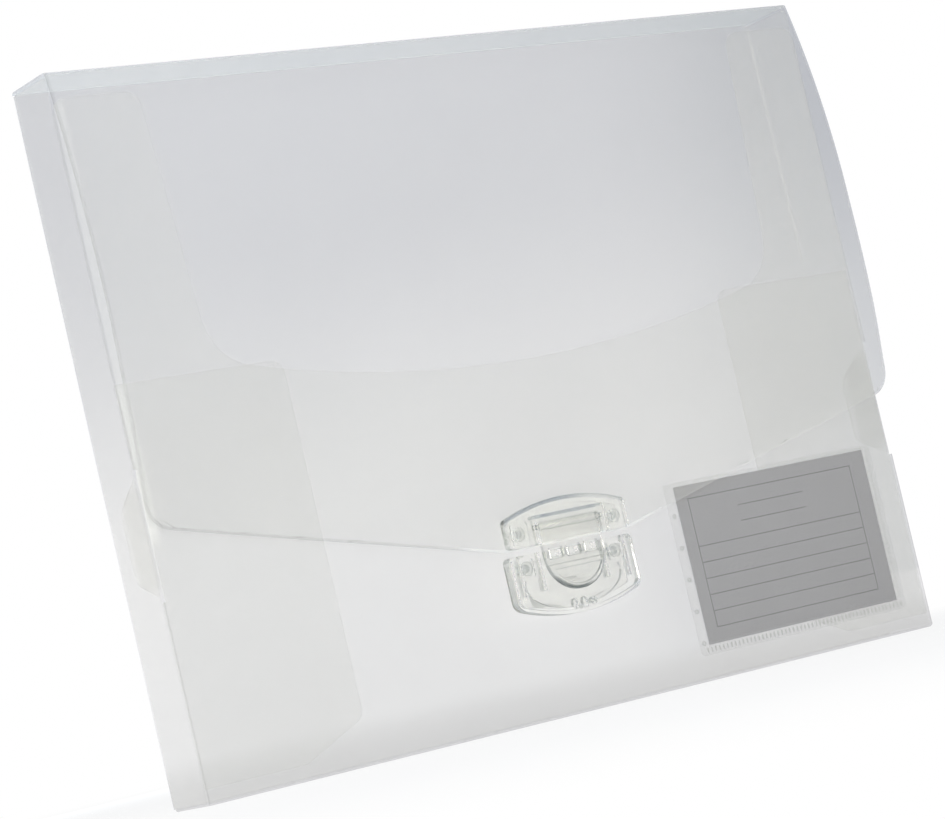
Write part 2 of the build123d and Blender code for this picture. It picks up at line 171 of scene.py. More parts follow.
class StageSettings(bpy.types.PropertyGroup):
    """Where the camera stands and how strong the lamps are."""

    lens: FloatProperty(
        name="Lens",
        description="Focal length of the camera in millimetres",
        default=120.0,
    )
    pan: FloatProperty(
        name="Pan",
        description="Turn of the camera about the vertical",
        default=math.radians(-34.8),
        subtype="ANGLE",
    )
    tilt: FloatProperty(
        name="Tilt",
        description="How far the camera looks up",
        default=math.radians(2.99),
        subtype="ANGLE",
    )
    roll: FloatProperty(
        name="Roll",
        description="Turn of the picture about the line of sight",
        default=math.radians(-13.06),
        subtype="ANGLE",
    )
    place: FloatVectorProperty(
        name="Place",
        description="Where the camera stands",
        default=(-0.6659, -0.9405, 0.0268),
        subtype="XYZ",
    )
    shift_x: FloatProperty(
        name="Shift X",
        description="Sideways shift of the picture",
        default=-0.0297,
    )
    shift_y: FloatProperty(
        name="Shift Y",
        description="Upward shift of the picture",
        default=0.0818,
    )
    key: FloatProperty(
        name="Key lamp",
        description="Power that each of the soft lamps has a share of",
        default=1.1,
        unit="POWER",
    )
    ambient: FloatProperty(
        name="Surrounding light",
        description="Strength of the pale surroundings as a light",
        default=0.71,
    )
    # Painted shade: the backdrop behind the sheets darkens higher up and to the right
    backdrop_low: colour_value(
        "Backdrop low down",
        (0.885, 0.88, 0.915),
        "Colour of the backdrop behind the sheet, low down",
    )
    backdrop_high: colour_value(
        "Backdrop higher up",
        (0.63, 0.635, 0.70),
        "Colour of the backdrop behind the sheet, higher up",
    )
    backdrop_side: colour_value(
        "Backdrop's fall at the right",
        (0.7, 0.722, 0.738),
        "What is left of the backdrop's colour at the right",
    )


class Wire:
    """One output of a node, with Python's arithmetic."""

    def __init__(self, graph, socket):
        self.graph = graph
        self.socket = socket

    def maths(self, operation, *others, first=None):
        inputs = dict(enumerate((self if first is None else first, *others)))
        return self.graph.node("Math", {"operation": operation}, inputs)

    def __add__(self, other):
        return self.maths("ADD", other)

    __radd__ = __add__

    def __sub__(self, other):
        return self.maths("SUBTRACT", other)

    def __rsub__(self, other):
        return self.maths("SUBTRACT", self, first=other)

    def __mul__(self, other):
        return self.maths("MULTIPLY", other)

    __rmul__ = __mul__

    def __abs__(self):
        return self.maths("ABSOLUTE")

    def least(self, other):
        return self.maths("MINIMUM", other)

    def most(self, other):
        return self.maths("MAXIMUM", other)

    def below(self, other):
        return self.maths("LESS_THAN", other)

    def above(self, other):
        return self.maths("GREATER_THAN", other)

    def eased(self, low, high):
        """0 up to low and 1 from high, with a smooth climb between."""
        settings = {"interpolation_type": "SMOOTHSTEP"}
        return self.graph.node("MapRange", settings, {0: self, 1: low, 2: high})


class Graph:
    """The nodes of one material or world, started empty."""

    def __init__(self, owner):
        owner.use_nodes = True
        self.tree = owner.node_tree
        self.tree.nodes.clear()

    def node(self, kind, settings=None, inputs=None, output=0):
        """Add a node, set it up, then feed its inputs with values or wires."""
        made = self.tree.nodes.new("ShaderNode" + kind)
        for name, value in (settings or {}).items():
            setattr(made, name, value)
        for key, value in (inputs or {}).items():
            if isinstance(value, Wire):
                self.tree.links.new(value.socket, made.inputs[key])
            else:
                made.inputs[key].default_value = value
        return Wire(self, made.outputs[output]) if made.outputs else made

    def mix(self, factor, a, b, blend="MIX"):
        """One colour mixed towards another."""
        inputs = {0: factor, 6: rgba(a), 7: rgba(b)}
        return self.node("Mix", {"data_type": "RGBA", "blend_type": blend}, inputs, output=2)

    def point(self):
        """The point that is shaded, in the file's own frame."""
        return self.node("TexCoord", output="Object")

    def split(self, vector):
        """The x, y and z of a vector."""
        made = self.node("SeparateXYZ", inputs={0: vector}).socket.node
        return [Wire(self, output) for output in made.outputs]

    def noise(self, point, scale, detail=2.0):
        """Cloudy noise about 0.5; the scale is in waves for each metre."""
        return self.node("TexNoise", inputs={"Vector": point, "Scale": scale, "Detail": detail})

    def bump(self, height, depth, strength=1.0, base=None):
        """A normal bent by a height; depth is in metres."""
        inputs = {"Strength": strength, "Distance": depth, "Height": height}
        if base:
            inputs["Normal"] = base
        return self.node("Bump", inputs=inputs)

    def surface(self, shader):
        self.node("OutputMaterial", inputs={"Surface": shader})


def rgba(colour):
    """A colour as a node takes it, or the wire itself."""
    return colour if isinstance(colour, Wire) else (*colour, 1.0)


def frosted(name, colour, density, roughness, marks=None):
    """Frosted sheet with milky clouds and a fine grain.

    marks gives what its folds and edges change from x, y and z: each a mask, the colour
    there and the density that it adds. On the case and on the flap's edge these marks are
    painted shade and painted highlights.
    """
    material = bpy.data.materials.new(name)
    graph = Graph(material)
    point = graph.point()
    clouds = graph.noise(point, scale=14.0, detail=3.0)
    streaks = graph.noise(point, scale=320.0, detail=4.0)
    milky = clouds.eased(0.3, 0.7) * 0.7 + streaks.eased(0.35, 0.65) * 0.3
    darker = [c * 0.97 for c in colour]
    lighter = [min(1.0, c * 1.03) for c in colour]
    base = graph.mix(milky, darker, lighter)
    alpha = density
    for mask, shade, added in marks(*graph.split(point)) if marks else ():
        base = graph.mix(mask, base, shade)
        alpha = mask * added + alpha
    grain = graph.noise(point, scale=2600.0, detail=2.0)
    ripple = graph.noise(point, scale=22.0, detail=1.0)
    normal = graph.bump(ripple, depth=0.5 * MM, strength=0.6)
    normal = graph.bump(grain, depth=0.02 * MM, strength=0.5, base=normal)
    inputs = {
        "Base Color": base,
        "Roughness": roughness + (streaks - 0.5) * 0.12,
        "IOR": 1.49,
        "Alpha": alpha,
        "Normal": normal,
    }
    graph.surface(graph.node("BsdfPrincipled", inputs=inputs))
    return material


def case_painted_light(x, y, z):
    """Painted light on the case: painted shade along the front's upright folds, and painted
    highlights beside the front's left fold and high up the back's upright folds.
    """
    colours = bpy.context.scene.file_colours
    from_side = HALF_WIDTH - abs(x)
    from_front, from_rear = HALF_DEPTH + y, HALF_DEPTH - y
    front_edge, rear_edge = (0.5 * MM, 1.0 * MM), (0.7 * MM, 1.2 * MM)
    band_start, band_end = (0.9 * MM, 1.3 * MM), (4.2 * MM, 5.6 * MM)
    front_skin = 2.2 * MM
    # Painted shade: the front's upright folds drawn darker
    score = 1.0 - from_side.eased(0.6 * MM, 1.1 * MM).most(from_front.eased(*front_edge))
    # Painted highlight: a paler strip of the front beside its left fold
    left_fold_highlight = from_side.eased(*band_start) * (1.0 - from_side.eased(*band_end))
    left_fold_highlight = left_fold_highlight * from_front.below(front_skin) * z.eased(84 * MM, 94 * MM) * x.below(0.0)
    # Painted highlight: the back's upright folds drawn paler in their upper part
    back_fold_highlight = 1.0 - from_side.eased(*rear_edge).most(from_rear.eased(*rear_edge))
    back_fold_highlight = back_fold_highlight * z.eased(150 * MM, 158 * MM)
    return [
        (back_fold_highlight, [min(1.0, c * 1.3) for c in colours.sheet], 0.1),
        (left_fold_highlight, [min(1.0, c * 1.28) for c in colours.sheet], 0.11),
        (score, [c * 0.6 for c in colours.sheet], 0.12),
    ]


def flap_edge_highlight(x, y, z):
    """Painted highlight on the flap's cut edge: white by the clasp,
    a fainter paler tint to its right.
    """
    clasp_side = (36 * MM, 60 * MM)
    return [
        (x.eased(*clasp_side), [0.9, 0.9, 0.88], -0.12),
        (1.0 - abs(x).eased(*clasp_side), [1.0, 1.0, 1.0], 0.15),
    ]


def tucked_marks(x, y, z):
    """The lock tabs behind the walls, which fade towards their tips."""
    low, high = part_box("right_lock_tab")
    foot_fade, top_fade, tip_fade = 7 * MM, 9 * MM, 5 * MM
    ends = z.eased(low.z, low.z + foot_fade) * (1.0 - z.eased(high.z - top_fade, high.z))
    solid = ends * (1.0 - y.eased(high.y - tip_fade, high.y))
    return [(solid, [0.5, 0.5, 0.45], 0.2)]


def sheet_looks(*names):
    """The sheet's materials with these names, each made when it is first asked for."""
    colours = bpy.context.scene.file_colours
    sheet, edge, dense = list(colours.sheet), list(colours.cut_edge), colours.sheet_density
    # Each has a colour, the density of one face, a roughness and its marks
    kinds = {
        "case_sheet": (sheet, dense, 0.44, case_painted_light),
        "flap_sheet": (sheet, dense, 0.44),
        "lit_sheet": (list(colours.lit_sheet), 0.32, 0.44),
        "soft_edge": (sheet, 0.16, 0.5),
        "cut_edge": (edge, 0.4, 0.55, flap_edge_highlight),
        "edge_strip": (edge, 0.22, 0.5, flap_edge_highlight),
        "tucked_tab": (sheet, 0.02, 0.5, tucked_marks),
    }
    return [bpy.data.materials.get(name) or frosted(name, *kinds[name]) for name in names]


def clear_plastic(name, colour, roughness, painted_shade=None, bend=1.22):
    """Clear moulded plastic with faint flow lines and a few fine scratches.

    An optional fourth argument paints shade: a mask from x and z, and the dark colour
    painted there, for the dark lines and shadows that refraction and the tongue give.
    """
    material = bpy.data.materials.new(name)
    graph = Graph(material)
    point = graph.point()
    stretched = graph.node("Mapping", inputs={0: point, "Scale": (1.0, 1.0, 3.0)})
    flow = graph.noise(stretched, scale=160.0, detail=3.0)
    wear = graph.noise(point, scale=1400.0, detail=3.0).eased(0.6, 0.75)
    darker = [c * 0.97 for c in colour]
    base = graph.mix(flow.eased(0.3, 0.7), darker, list(colour))
    if painted_shade:
        mask, shade_colour = painted_shade
        x, y, z = graph.split(point)
        base = graph.mix(mask(x, z), base, list(shade_colour))
    inputs = {
        "Base Color": base,
        "Roughness": roughness + wear * 0.08,
        "IOR": bend,
        "Transmission Weight": 1.0,
        "Normal": graph.bump(flow, depth=0.1 * MM, strength=0.5),
    }
    graph.surface(graph.node("BsdfPrincipled", inputs=inputs))
    return material


def painted_rim_shade(x, z):
    """Painted shade on the upper plate under its arch, fading to the right, and along the top
    of the tongue's frame, for the dark lines that refraction gives there.
    """
    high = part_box("clasp_upper_plate")[1]
    crown = 5.1 * MM
    radius = (high.x**2 + crown**2) / (2 * crown)
    rise = z - (high.z - radius)
    inner, outer = (radius - 1.7 * MM) ** 2, (radius - 1.0 * MM) ** 2
    fainter_right = 1.0 - x.eased(-2 * MM, 16 * MM) * 0.7
    arch = (x * x + rise * rise).eased(inner, outer) * fainter_right
    ledge, frame_half = high.z - 5.8 * MM, 15 * MM
    near = 1.0 - abs(z - ledge).eased(0.4 * MM, 0.8 * MM)
    return arch.most(near * abs(x).below(frame_half))


def painted_foot_shadow(x, z):
    """Painted shadow under the tongue's lifted round end: a dark arc along its lower edge,
    fading out just right of its middle.
    """
    radius = 13.4 * MM
    rise = z - (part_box("clasp_tongue")[0].z + radius)
    inner, outer = (radius - 1.5 * MM) ** 2, (radius - 0.8 * MM) ** 2
    round_end = (x * x + rise * rise).eased(inner, outer)
    return round_end * (1.0 - rise.eased(-10 * MM, -6 * MM)) * (1.0 - x.eased(1 * MM, 7 * MM))


def thin_film(name, colour, density, roughness):
    """Clear thin film, a little hazy, with faint pulled wrinkles."""
    material = bpy.data.materials.new(name)
    graph = Graph(material)
    haze = graph.noise(graph.point(), scale=90.0, detail=4.0)
    darker = [c * 0.94 for c in colour]
    inputs = {
        "Base Color": graph.mix(haze.eased(0.3, 0.7), darker, list(colour)),
        "Roughness": roughness + haze * 0.1,
        "IOR": 1.5,
        "Alpha": density,
        "Normal": graph.bump(haze, depth=0.25 * MM, strength=0.5),
    }
    graph.surface(graph.node("BsdfPrincipled", inputs=inputs))
    return material


def add_box(bm, low, high):
    """Add a closed block between two corners."""
    middle = (Vector(low) + Vector(high)) / 2
    sides = Matrix.Diagonal((*(Vector(high) - Vector(low)), 1.0))
    bmesh.ops.create_cube(bm, size=1.0, matrix=Matrix.Translation(middle) @ sides)


def add_ring(bm, x, z, radii, depths, steps=20):
    """Add a flat ring that faces the front, between two radii and two depths."""
    corners = [(r, y) for y in depths for r in radii]
    order = (0, 1, 3, 2)
    loops = []
    for k in range(steps):
        turn = 2 * math.pi * k / steps
        across, up = math.cos(turn), math.sin(turn)
        loops.append([bm.verts.new((x + r * across, y, z + r * up)) for r, y in corners])
    for here, there in zip(loops, loops[1:] + loops[:1]):
        for a, b in zip(order, order[1:] + order[:1]):
            bm.faces.new((here[a], here[b], there[b], there[a]))


def finished(bm, name, body, materials, replaces, soften=0.0, sharp=30):
    """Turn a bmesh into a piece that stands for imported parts, and rides on a body if given one."""
    bmesh.ops.recalc_face_normals(bm, faces=bm.faces)
    mesh = bpy.data.meshes.new(name)
    bm.to_mesh(mesh)
    bm.free()
    for polygon in mesh.polygons:
        polygon.use_smooth = True
    mesh.set_sharp_from_angle(angle=math.radians(sharp))
    for material in materials:
        mesh.materials.append(material)
    piece = bpy.data.objects.new(name, mesh)
    bpy.context.scene.collection.objects.link(piece)
    if soften:
        bevel = piece.modifiers.new("soft_edges", "BEVEL")
        bevel.width = soften
        bevel.segments = 2
        bevel.limit_method = "ANGLE"
        bevel.angle_limit = math.radians(sharp)
        bevel.harden_normals = True
    if body:
        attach(piece, body)
    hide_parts(*replaces)
    return piece


def packed_copy(node):
    """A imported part's mesh, with its triangles joined into flat faces."""
    bm = bmesh.new()
    bm.from_mesh(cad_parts[node].data)
    bmesh.ops.remove_doubles(bm, verts=bm.verts, dist=0.001 * MM)
    flat = math.radians(0.5)
    bmesh.ops.dissolve_limit(bm, angle_limit=flat, verts=bm.verts, edges=bm.edges)
    return bm


def rounded(corners, steps=8):
    """An outline of corners, each x, y and an optional radius that rounds it."""
    points = []
    for i, corner in enumerate(corners):
        here = Vector(corner[:2])
        if len(corner) == 2:
            points.append(here)
            continue
        radius = corner[2]
        back = (Vector(corners[i - 1][:2]) - here).normalized()
        on = (Vector(corners[(i + 1) % len(corners)][:2]) - here).normalized()
        half = back.angle(on) / 2
        middle = here + (back + on).normalized() * (radius / math.sin(half))
        start = here + back * (radius / math.tan(half)) - middle
        end = here + on * (radius / math.tan(half)) - middle
        sweep = start.angle_signed(end)
        for k in range(steps + 1):
            points.append(middle + Matrix.Rotation(-sweep * k / steps, 2) @ start)
    return points


def arc_through(start, middle, end, steps=48):
    """Points on the arc through three points, without its two ends."""
    a, b, c = (Vector(p).to_3d() for p in (start, middle, end))
    across, up = b - a, c - a
    normal = across.cross(up)
    foot = (up.length_squared * normal.cross(across) + across.length_squared * up.cross(normal))
    centre = (a + foot / (2 * normal.length_squared)).to_2d()
    spoke = Vector(start) - centre
    sweep = spoke.angle_signed(Vector(end) - centre)
    return [centre + Matrix.Rotation(-sweep * k / steps, 2) @ spoke for k in range(1, steps)]


def circle(x, y, radius, steps=20):
    """An outline of a round hole."""
    turns = [2 * math.pi * k / steps for k in range(steps)]
    return [Vector((x + radius * math.cos(t), y + radius * math.sin(t))) for t in turns]


def spread(low, high, count):
    """Values from low to high, both ends with them, count steps apart."""
    return [low + (high - low) * i / count for i in range(count + 1)]


def net(bm, outline, holes, lines):
    """Fill a plane outline and cut it along lines, each an axis, a value and its span."""
    loops = [outline, *holes]
    points = [Vector((p[0], p[1], 0)) for loop in loops for p in loop]
    verts = [bm.verts.new(p) for p in points]
    for triangle in tessellate_polygon([[Vector((p[0], p[1], 0)) for p in loop] for loop in loops]):
        bm.faces.new([verts[i] for i in triangle])
    round_holes = set(verts[len(outline) :])
    slack = 1e-7

    def within(face, axis, low, high):
        middle = face.calc_center_bounds()[1 - axis]
        return low - slack < middle < high + slack

    for axis, value, low, high in lines:
        faces = [f for f in bm.faces if within(f, axis, low, high)]
        edges = {e for f in faces for e in f.edges}
        geometry = {*faces, *edges, *(v for f in faces for v in f.verts)}
        place, normal = Vector((0, 0, 0)), Vector((0, 0, 0))
        place[axis], normal[axis] = value, 1
        bmesh.ops.bisect_plane(bm, geom=list(geometry), plane_co=place, plane_no=normal)

    def on_line(edge):
        a, b = (v.co for v in edge.verts)
        middle = (a + b) / 2
        return any(
            abs(a[axis] - value) < slack
            and abs(b[axis] - value) < slack
            and low - slack < middle[1 - axis] < high + slack
            for axis, value, low, high in lines
        )

    diagonals = [
        e
        for e in bm.edges
        if len(e.link_faces) == 2 and not on_line(e) and not round_holes & set(e.verts)
    ]
    bmesh.ops.dissolve_edges(bm, edges=diagonals, use_verts=False)


def sheet_mesh(outline, lines, place, holes=(), joined=None, strip=0.0):
    """A closed sheet over a flat pattern; place gives a point from u, v and 0 outside or 1 inside.

    Its edge has material 1, and a strip of its outside along the edge has material 2. At the
    v of joined it meets the next piece and isn't cut.
    """
    bm = bmesh.new()
    net(bm, outline, holes, lines)
    if strip:
        bmesh.ops.recalc_face_normals(bm, faces=bm.faces)
        ring = bmesh.ops.inset_region(
            bm, faces=bm.faces, thickness=strip, use_even_offset=True, use_boundary=True
        )
        for face in ring["faces"]:
            if joined is None or face.calc_center_median().y < joined - strip:
                face.material_index = 2
    outside = list(bm.faces)
    twin = {v: bm.verts.new(v.co) for v in list(bm.verts)}
    for edge in [e for e in bm.edges if len(e.link_faces) == 1]:
        a, b = edge.verts
        side = bm.faces.new((a, b, twin[b], twin[a]))
        meets = joined is not None and all(abs(v.co.y - joined) < 1e-6 for v in edge.verts)
        side.material_index = 0 if meets else 1
    for face in outside:
        bm.faces.new([twin[v] for v in reversed(face.verts)])
    for outer, inner in twin.items():
        u, v = outer.co.x, outer.co.y
        outer.co = place(u, v, 0)
        inner.co = place(u, v, 1)
    return bm


def smooth(value, low, high):
    """0 up to low and 1 from high, with a smooth climb between."""
    t = min(1.0, max(0.0, (value - low) / (high - low)))
    return t * t * (3 - 2 * t)


def fold_section(turn, inside):
    """How far the sheet's surface is from a fold's centre; turn goes from 0 to 1."""
    sizes = bpy.context.scene.file_sizes
    if inside:
        return sizes.crease_radius - SHEET * (1 - sizes.crease_thinning * math.sin(math.pi * turn))
    score_width = 0.11
    pressed = math.exp(-(((turn - 0.5) / score_width) ** 2))
    return sizes.crease_radius - sizes.score_depth * pressed


def section(s, start, heading, side, runs, inside):
    """A point on a section through the folded sheet, s from its start.

    The section is straight runs joined by right-angled folds; side is 1 where they turn left.
    """
    sizes = bpy.context.scene.file_sizes
    radius, arc = sizes.crease_radius, sizes.crease_length
    place, heading = Vector(start), Vector(heading)
    quarter = Matrix.Rotation(side * math.pi / 2, 2)
    for i, run in enumerate(runs):
        inward = quarter @ heading
        if s <= run or i == len(runs) - 1:
            return place + heading * s + inward * SHEET * inside
        s -= run
        place += heading * run
        centre = place + inward * radius
        if s <= arc:
            swing = Matrix.Rotation(side * math.pi / 2 * s / arc, 2)
            return centre - swing @ inward * fold_section(s / arc, inside)
        s -= arc
        place = centre + heading * radius
        heading = quarter @ heading


class CasePattern:
    """The flat pattern of the case, with the back panel upright in its middle.

    u runs across the back, the walls and the tabs; v runs up the back, and down the
    bottom and the front below it.
    """

    def __init__(self, sizes):
        self.radius, self.arc = r, arc = sizes.crease_radius, sizes.crease_length
        tab_low, tab_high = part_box("right_inner_tab")
        lock_low, lock_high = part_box("right_lock_tab")
        front_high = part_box("front_panel")[1]
        self.wall = (HALF_DEPTH - r) - (TAB_FRONT + r)
        self.bottom = 2 * (HALF_DEPTH - r)
        self.back_edge = HALF_WIDTH - r
        self.wall_end = self.back_edge + arc + self.wall
        self.tab_start = self.wall_end + arc
        self.tab_end = self.tab_start + HALF_WIDTH - r - tab_low.x
        self.lock_edge = lock_high.x - r
        self.lock_end = self.lock_edge + arc + lock_high.y + HALF_DEPTH - r
        self.front_fold = r - arc - self.bottom
        self.front_zero = self.front_fold - arc + r
        self.tab_span = (tab_low.z, tab_high.z)
        self.lock_span = (lock_low.z, lock_high.z)
        self.front_half = front_high.x
        self.front_top = front_high.z
        self.wall_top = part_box("right_side_wall")[1].z

    def front(self, x, z, *radius):
        """A corner on the front panel, as a corner of the pattern."""
        return (x, self.front_zero - z, *radius)

    def right_half(self):
        """The right half of the outline, from the top of the back down to the cut-out's sill."""
        r = self.radius
        ease = 0.5 * MM
        low, high = self.lock_span
        foot, top = self.tab_span
        free = self.wall_end + 0.9 * MM
        slit_end = self.tab_start + r
        walls = [
            (self.back_edge, HEIGHT - r),
            (self.back_edge, self.wall_top),
            (free, self.wall_top, 1.5 * MM),
            (free, top + ease),
            (self.wall_end, top + ease),
            (self.wall_end, top),
            (self.tab_end, top, 5 * MM),
            (self.tab_end, foot + 11.5 * MM, 5 * MM),
            (self.tab_end - 26 * MM, foot, 5 * MM),
            (self.wall_end, foot),
            (self.wall_end, r),
            (self.back_edge, r),
        ]
        slit = [
            (self.wall_end, high + ease),
            (slit_end, high + ease),
            (slit_end, low - ease),
            (self.wall_end, low - ease),
        ]
        edge, notch = self.front_half, 0.2 * MM
        tip = self.lock_end
        ear_foot, on_sill = self.front(125.5 * MM, 147 * MM), self.front(111.6 * MM, 143.4 * MM)
        front = [
            (self.back_edge, self.front_fold),
            self.front(edge, r),
            self.front(edge, low - notch),
            self.front(self.lock_edge, low - notch),
            self.front(self.lock_edge, low),
            self.front(tip, low + 8.3 * MM, 4 * MM),
            self.front(tip, high - 12 * MM, 4 * MM),
            self.front(self.lock_edge, high),
            self.front(self.lock_edge, high + notch),
            self.front(edge, high + notch),
            self.front(edge, self.front_top, 6 * MM),
            self.front(131 * MM, self.front_top, 6 * MM),
            (*ear_foot, 20 * MM),
        ]
        points = rounded([*walls, *front, on_sill])[:-1]
        sill = arc_through(ear_foot, self.front(0, 130 * MM), (-ear_foot[0], ear_foot[1]))
        apart = 1 * MM
        points += [p for p in sill if apart < p.x < points[-1].x - apart]
        return points, slit

    def outline(self):
        """The whole outline and the two slits."""
        right, slit = self.right_half()
        left = [Vector((-p.x, p.y)) for p in reversed(right)]
        slits = [slit, [(-u, v) for u, v in reversed(slit)]]
        return right + left, slits

    def lines(self):
        """The cuts that let the pattern bend: fine steps at each fold."""
        arc, r, edge = self.arc, self.radius, self.lock_edge
        rows = [v for end in (r, self.front_fold) for v in spread(end - arc, end, FOLD_STEPS)]
        low, high = (self.front_zero - z for z in reversed(self.lock_span))
        lines = [(1, v, -BEYOND, BEYOND) for v in (*rows, low, high)]
        for side in (-1, 1):
            for start in (self.back_edge, self.wall_end):
                fold = spread(start, start + arc, FOLD_STEPS)
                lines += [(0, side * u, r, BEYOND) for u in fold]
            lines += [(0, side * u, low, high) for u in spread(edge, edge + arc, FOLD_STEPS)]
        return lines

    def place(self, u, v, inside):
        """Where a point of the pattern stands on the folded case."""
        r = self.radius
        side = -1 if u < 0 else 1
        if v >= r - 1e-7:
            above_tab = v >= self.tab_span[1] + 0.1 * MM
            runs = [self.back_edge, *([] if above_tab else [self.wall]), BEYOND]
            x, y = section(abs(u), (0, HALF_DEPTH), (1, 0), -1, runs, inside)
            return Vector((side * x, y, v))
        y, z = section(r - v, (HALF_DEPTH, r), (0, -1), -1, [0, self.bottom, BEYOND], inside)
        low, high = self.lock_span
        if v < self.front_fold and low - 1e-6 < z < high + 1e-6 and abs(u) > self.lock_edge:
            runs = [self.lock_edge, BEYOND]
            x, y = section(abs(u), (0, -HALF_DEPTH), (1, 0), 1, runs, inside)
            return Vector((side * x, y, z))
        return Vector((u, y, z))


def bow(z):
    """How far the flap's outer face stands off the case's front at its middle."""
    flat_top = 80 * MM
    lift = 3.0 * MM
    turn_rise = 33 * MM
    turn_lift = 2.9 * MM
    if z <= flat_top:
        return lift
    radius = (turn_rise**2 + turn_lift**2) / (2 * turn_lift)
    lean = math.asin(turn_rise / radius)
    if z <= flat_top + turn_rise:
        return lift + radius - math.sqrt(radius**2 - (z - flat_top) ** 2)
    start = Vector((lift + turn_lift, flat_top + turn_rise))
    run = Vector((0, HEIGHT)) - start
    half = lean + math.atan2(-run.x, run.y)
    large = run.length / (2 * math.sin(half))
    middle = start + large * Vector((-math.cos(lean), math.sin(lean)))
    return middle.x + math.sqrt(large**2 - (z - middle.y) ** 2)


def flap_stand_off(x, z):
    """How far the flap's outer face stands off the case's front anywhere."""
    sizes = bpy.context.scene.file_sizes
    share, lift = (
        (sizes.bow_left, sizes.corner_lift_left)
        if x < 0
        else (sizes.bow_right, sizes.corner_lift_right)
    )
    out = abs(x) / HALF_WIDTH
    side = smooth(out, 0.1, 1.0)
    upper = smooth(z, 95 * MM, 150 * MM)
    corner = smooth(out, 0.2, 1.0) * (1 - smooth(z, 90 * MM, 175 * MM))
    return bow(z) * (1 - (1 - share) * side * upper) + lift * corner


def flap_place(u, v, inside):
    """Where a point of the flap's pattern hangs; above the crease v runs back along the spine."""
    sizes = bpy.context.scene.file_sizes
    r, arc = sizes.crease_radius, sizes.crease_length
    crease = HEIGHT - r
    near = HEIGHT - 2 * MM
    slope = flap_stand_off(u, near) / (HEIGHT - near)
    lean = math.atan(slope)
    turn = math.pi / 2 - lean
    reach = r * math.tan(turn / 2)
    if v <= crease:
        end = HEIGHT - reach * math.cos(lean)
        z = v + (end - crease) * smooth(v, crease - 6 * MM, crease)
        out = flap_stand_off(u, z)
        if z > near:
            out = slope * (HEIGHT - z)
        climb = (flap_stand_off(u, z - MM) - flap_stand_off(u, z + MM)) / (2 * MM)
        climb = slope if z > near else climb
        inward = Vector((0, 1, -climb)).normalized() * SHEET * inside
        return Vector((u, -HALF_DEPTH - out, z)) + inward
    if v <= crease + arc:
        left = 1 - (v - crease) / arc
        away = fold_section(1 - left, inside)
        y = -HALF_DEPTH + reach - away * math.sin(turn * left)
        return Vector((u, y, HEIGHT - r + away * math.cos(turn * left)))
    y = -HALF_DEPTH + reach + (r - reach) * (v - crease - arc) / r
    return Vector((u, y, HEIGHT - SHEET * inside))


class BOXFILE_OT_case(bpy.types.Operator):
    """Cut the case from one sheet and fold its bottom, front, walls and tabs"""

    bl_idname = "box_file.case"
    bl_label = "Fold the Case"

    def execute(self, context):
        sizes = context.scene.file_sizes
        pattern = CasePattern(sizes)
        outline, holes = pattern.outline()
        rivet_x, rivet_v = 20 * MM, pattern.front_zero - 55 * MM
        holes += [circle(side * rivet_x, rivet_v, RIVET_HOLE) for side in (-1, 1)]
        top = HEIGHT - sizes.crease_radius
        bm = sheet_mesh(outline, pattern.lines(), pattern.place, holes, joined=top)
        low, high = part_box("right_lock_tab")
        behind_fold = 2.2 * MM - HALF_DEPTH
        for face in bm.faces:
            middle = face.calc_center_bounds()
            tucked = low.x < abs(middle.x) < high.x + 0.1 * MM and low.z < middle.z < high.z
            if tucked and behind_fold < middle.y < high.y:
                face.material_index = 2
        nodes = ["back_panel", "bottom_panel", "front_panel"]
        for word in ("left", "right"):
            nodes += [f"{word}_side_wall", f"{word}_inner_tab", f"{word}_lock_tab"]
        looks = sheet_looks("case_sheet", "soft_edge", "tucked_tab")
        finished(bm, "case_sheet", "case", looks, nodes, sizes.edge_round)
        return {"FINISHED"}


